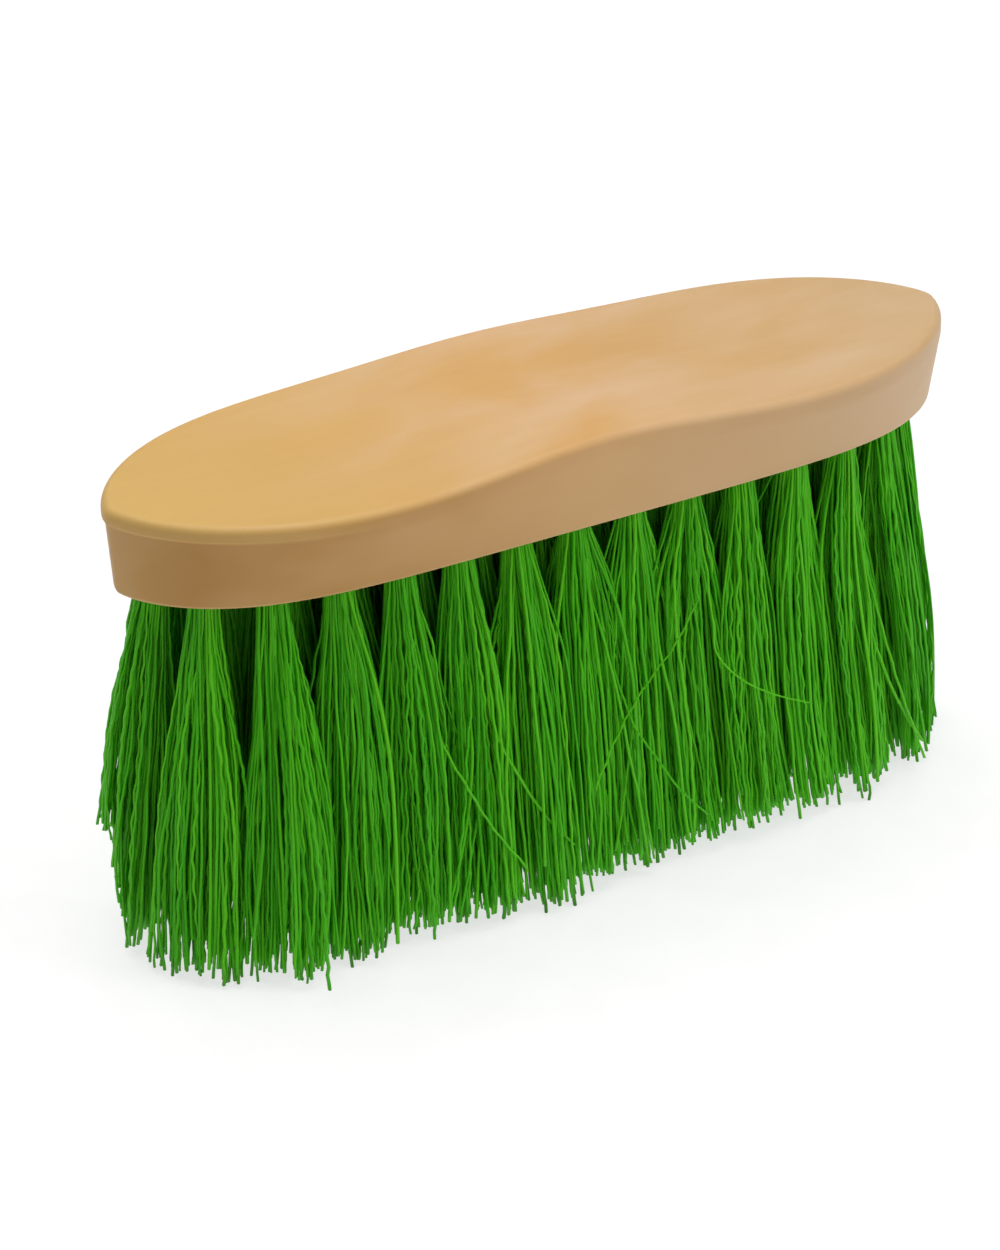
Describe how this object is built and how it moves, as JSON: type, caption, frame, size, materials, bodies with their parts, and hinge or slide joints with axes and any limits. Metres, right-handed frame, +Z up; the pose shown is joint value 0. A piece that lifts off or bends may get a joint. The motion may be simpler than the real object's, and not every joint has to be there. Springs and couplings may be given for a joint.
{
  "type": "dandy brush",
  "caption": "Horse-grooming dandy brush: a waisted, crowned wooden hand block over rings of long, flared plastic bristle tufts that stand on their tips.",
  "frame": {"origin": "middle of the bristle tips, on the surface that the brush stands on", "axes": "+Z up from the tips to the back of the stock, +X along the stock, +Y across it"},
  "size_m": [0.213, 0.0702, 0.107],
  "materials": {
    "stock_wood": "satin clear lacquer over beech",
    "bristle_plastic": "bright green crimped filament, slightly translucent",
    "anchor_wire": "plain drawn flat wire"
  },
  "bodies": {
    "root": {"stock": "stock_wood", "tuft_outer_01": "bristle_plastic", "tuft_outer_02": "bristle_plastic", "tuft_outer_03": "bristle_plastic", "tuft_outer_04": "bristle_plastic", "tuft_outer_05": "bristle_plastic", "tuft_outer_06": "bristle_plastic", "tuft_outer_07": "bristle_plastic", "tuft_outer_08": "bristle_plastic", "tuft_outer_09": "bristle_plastic", "tuft_outer_10": "bristle_plastic", "tuft_outer_11": "bristle_plastic", "tuft_outer_12": "bristle_plastic", "tuft_outer_13": "bristle_plastic", "tuft_outer_14": "bristle_plastic", "tuft_outer_15": "bristle_plastic", "tuft_outer_16": "bristle_plastic", "tuft_outer_17": "bristle_plastic", "tuft_outer_18": "bristle_plastic", "tuft_outer_19": "bristle_plastic", "tuft_outer_20": "bristle_plastic", "tuft_outer_21": "bristle_plastic", "tuft_outer_22": "bristle_plastic", "tuft_outer_23": "bristle_plastic", "tuft_outer_24": "bristle_plastic", "tuft_outer_25": "bristle_plastic", "tuft_outer_26": "bristle_plastic", "tuft_outer_27": "bristle_plastic", "tuft_outer_28": "bristle_plastic", "tuft_inner_01": "bristle_plastic", "tuft_inner_02": "bristle_plastic", "tuft_inner_03": "bristle_plastic", "tuft_inner_04": "bristle_plastic", "tuft_inner_05": "bristle_plastic", "tuft_inner_06": "bristle_plastic", "tuft_inner_07": "bristle_plastic", "tuft_inner_08": "bristle_plastic", "tuft_inner_09": "bristle_plastic", "tuft_inner_10": "bristle_plastic", "tuft_inner_11": "bristle_plastic", "tuft_inner_12": "bristle_plastic", "tuft_inner_13": "bristle_plastic", "tuft_inner_14": "bristle_plastic", "tuft_inner_15": "bristle_plastic", "tuft_inner_16": "bristle_plastic", "tuft_inner_17": "bristle_plastic", "tuft_inner_18": "bristle_plastic", "tuft_inner_19": "bristle_plastic", "tuft_inner_20": "bristle_plastic", "tuft_inner_21": "bristle_plastic", "tuft_inner_22": "bristle_plastic", "tuft_centre_01": "bristle_plastic", "tuft_centre_02": "bristle_plastic", "tuft_centre_03": "bristle_plastic", "tuft_centre_04": "bristle_plastic", "tuft_centre_05": "bristle_plastic", "tuft_centre_06": "bristle_plastic", "tuft_centre_07": "bristle_plastic", "tuft_centre_08": "bristle_plastic", "tuft_centre_09": "bristle_plastic"}
  },
  "joints": []
}
